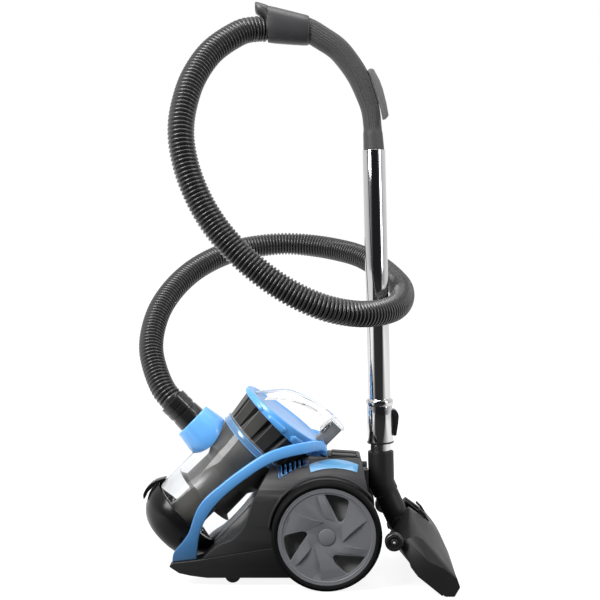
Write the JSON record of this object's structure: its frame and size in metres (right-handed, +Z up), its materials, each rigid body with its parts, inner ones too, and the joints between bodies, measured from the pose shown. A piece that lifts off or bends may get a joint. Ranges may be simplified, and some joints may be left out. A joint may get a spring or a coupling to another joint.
{
  "type": "canister vacuum cleaner",
  "caption": "Upright-stored canister vacuum cleaner with a tilted clear cyclone cup, big wheels, ribbed hose, telescopic wand and hinged floor head.",
  "frame": {"origin": "on the floor, at the centre of the footprint of the canister with its wand and floor head parked, without the hose", "axes": "+X from the dust cup towards the parked wand, +Y towards the right big wheel seen from behind the cup, +Z up"},
  "size_m": [0.4895, 0.5016, 0.876],
  "materials": {
    "housing_dark": "satin",
    "cover_dark": "satin",
    "blue_gloss": "glossy",
    "strip_blue": "glossy",
    "vent_blue": "satin",
    "clip_grey": "satin",
    "grille_black": "matt",
    "filter_foam": "matt",
    "steel": "satin",
    "motor_case": "satin",
    "motor_copper": "matt",
    "reel_plastic": "matt",
    "wheel_grey": "satin",
    "tyre_black": "matt",
    "caster_black": "matt",
    "clear_plastic": "clear",
    "black_gloss": "glossy",
    "hose_black": "satin",
    "chrome_tube": "polished",
    "head_black": "satin",
    "brush_hair": "matt"
  },
  "bodies": {
    "canister": {"lower_chassis": "housing_dark", "main_housing": "housing_dark", "left_side_panel": "housing_dark", "right_side_panel": "housing_dark", "arch_band": "blue_gloss", "top_panel": "cover_dark", "side_vents": "vent_blue", "trim_strips": "strip_blue", "parking_clip": "clip_grey", "exhaust_grille": "grille_black", "exhaust_filter": "filter_foam", "cord_outlet": "grille_black", "housing_screws": "steel", "motor_shell": "motor_case", "motor_core": "motor_copper", "wheel_axles": "steel", "dust_cup": "clear_plastic", "cyclone_body": "black_gloss", "dust_tube": "reel_plastic", "cup_ring": "blue_gloss", "filter_housing": "black_gloss", "pleated_filter": "filter_foam", "top_lid": "blue_gloss", "carry_handle": "clear_plastic", "release_post": "clip_grey", "inlet_collar": "blue_gloss", "hose_cuff": "black_gloss", "hose": "hose_black", "inner_tube": "chrome_tube", "neck_cuff": "head_black"},
    "left_wheel": {"left_wheel_disc": "wheel_grey", "left_tyre": "tyre_black", "left_hub_cap": "wheel_grey"},
    "right_wheel": {"right_wheel_disc": "wheel_grey", "right_tyre": "tyre_black", "right_hub_cap": "wheel_grey"},
    "left_caster": {"left_caster_fork": "caster_black"},
    "left_roller": {"left_caster_wheel": "caster_black"},
    "right_caster": {"right_caster_fork": "caster_black"},
    "right_roller": {"right_caster_wheel": "caster_black"},
    "power_pedal": {"power_pedal": "cover_dark"},
    "rewind_pedal": {"rewind_pedal": "cover_dark"},
    "rotor": {"motor_rotor": "steel"},
    "reel": {"cord_reel": "reel_plastic"},
    "cup_base": {"base_lid": "black_gloss"},
    "cup_latch": {"cup_latch": "black_gloss"},
    "release_button": {"release_button": "clip_grey"},
    "wand_upper": {"outer_tube": "chrome_tube", "lock_collar": "chrome_tube", "handle_grip": "clip_grey", "handle_sleeve": "clip_grey"},
    "tube_lock": {"tube_lock": "black_gloss"},
    "bleed_slider": {"bleed_slider": "clip_grey"},
    "neck": {"neck_elbow": "head_black"},
    "head": {"head_shell": "head_black", "head_sole": "head_black", "head_pins": "steel"},
    "head_wheels": {"head_wheels": "head_black"},
    "brush_pedal": {"brush_pedal": "head_black"},
    "head_brush": {"head_brush": "brush_hair"}
  },
  "joints": [
    {"name": "left_wheel_spin", "type": "hinge", "parent": "canister", "child": "left_wheel", "pos_m": [0.0445, -0.1035, 0.082], "axis": [0, 1, 0], "continuous": true},
    {"name": "right_wheel_spin", "type": "hinge", "parent": "canister", "child": "right_wheel", "pos_m": [0.0445, 0.1035, 0.082], "axis": [0, 1, 0], "continuous": true},
    {"name": "left_caster_swivel", "type": "hinge", "parent": "canister", "child": "left_caster", "pos_m": [-0.1046, -0.061, 0.02], "axis": [0, 0, 1], "continuous": true},
    {"name": "left_roller_spin", "type": "hinge", "parent": "left_caster", "child": "left_roller", "pos_m": [-0.0966, -0.061, 0.012], "axis": [0, 1, 0], "continuous": true},
    {"name": "right_caster_swivel", "type": "hinge", "parent": "canister", "child": "right_caster", "pos_m": [-0.1046, 0.061, 0.02], "axis": [0, 0, 1], "continuous": true},
    {"name": "right_roller_spin", "type": "hinge", "parent": "right_caster", "child": "right_roller", "pos_m": [-0.0966, 0.061, 0.012], "axis": [0, 1, 0], "continuous": true},
    {"name": "power_press", "type": "hinge", "parent": "canister", "child": "power_pedal", "pos_m": [0.0912, 0.014, 0.1845], "axis": [0, -1, 0], "range_deg": [0, 5], "stiffness_Nm_per_rad": 4, "springref_deg": -1.72},
    {"name": "rewind_press", "type": "hinge", "parent": "canister", "child": "rewind_pedal", "pos_m": [0.0912, -0.014, 0.1845], "axis": [0, -1, 0], "range_deg": [0, 5], "stiffness_Nm_per_rad": 4, "springref_deg": -1.72},
    {"name": "rotor_spin", "type": "hinge", "parent": "canister", "child": "rotor", "pos_m": [0.03, -0.027, 0.081], "axis": [1, 0, 0], "continuous": true},
    {"name": "reel_spin", "type": "hinge", "parent": "canister", "child": "reel", "pos_m": [0.036, 0.044, 0.095], "axis": [0, 1, 0], "continuous": true},
    {"name": "base_drop", "type": "hinge", "parent": "canister", "child": "cup_base", "pos_m": [-0.12627, 0, 0.04522], "axis": [0, -1, 0], "range_deg": [0, 5]},
    {"name": "latch_press", "type": "hinge", "parent": "cup_base", "child": "cup_latch", "pos_m": [-0.22421, 0, 0.13467], "axis": [0, -1, 0], "range_deg": [0, 4], "stiffness_Nm_per_rad": 0.8, "springref_deg": -2.86},
    {"name": "release_press", "type": "slide", "parent": "canister", "child": "release_button", "axis": [0.7071, 0, -0.7071], "range_m": [0, 0.003], "stiffness_N_per_m": 200, "springref_m": -0.001},
    {"name": "telescope", "type": "slide", "parent": "canister", "child": "wand_upper", "axis": [-0.0262, 0, 0.9997], "range_m": [0, 0.32], "deforming": ["hose"]},
    {"name": "lock_slide", "type": "slide", "parent": "wand_upper", "child": "tube_lock", "axis": [0.0262, 0, -0.9997], "range_m": [0, 0.0035], "stiffness_N_per_m": 300, "springref_m": -0.003},
    {"name": "bleed_slide", "type": "slide", "parent": "wand_upper", "child": "bleed_slider", "axis": [-0.3024, 0, 0.9532], "range_m": [0, 0.012]},
    {"name": "neck_swivel", "type": "hinge", "parent": "canister", "child": "neck", "pos_m": [0.1389, 0, 0.1252], "axis": [0.4195, 0, -0.9078], "range_deg": [-1.5, 1.5]},
    {"name": "head_tilt", "type": "hinge", "parent": "neck", "child": "head", "pos_m": [0.16197, 0, 0.07527], "axis": [0, -1, 0], "range_deg": [0, 60]},
    {"name": "head_wheel_spin", "type": "hinge", "parent": "head", "child": "head_wheels", "pos_m": [0.14247, 0, 0.0782], "axis": [0, 1, 0], "continuous": true},
    {"name": "brush_press", "type": "hinge", "parent": "head", "child": "brush_pedal", "pos_m": [0.20255, 0, 0.08487], "axis": [0, -1, 0], "range_deg": [0, 8], "stiffness_Nm_per_rad": 0.6, "springref_deg": -2.86},
    {"name": "brush_drop", "type": "slide", "parent": "head", "child": "head_brush", "axis": [-0.6293, 0, -0.7771], "range_m": [0, 0.004]}
  ],
  "couplings": [
    {"joint": "brush_drop", "follows": "brush_press", "m_per_rad": 0.02864}
  ]
}
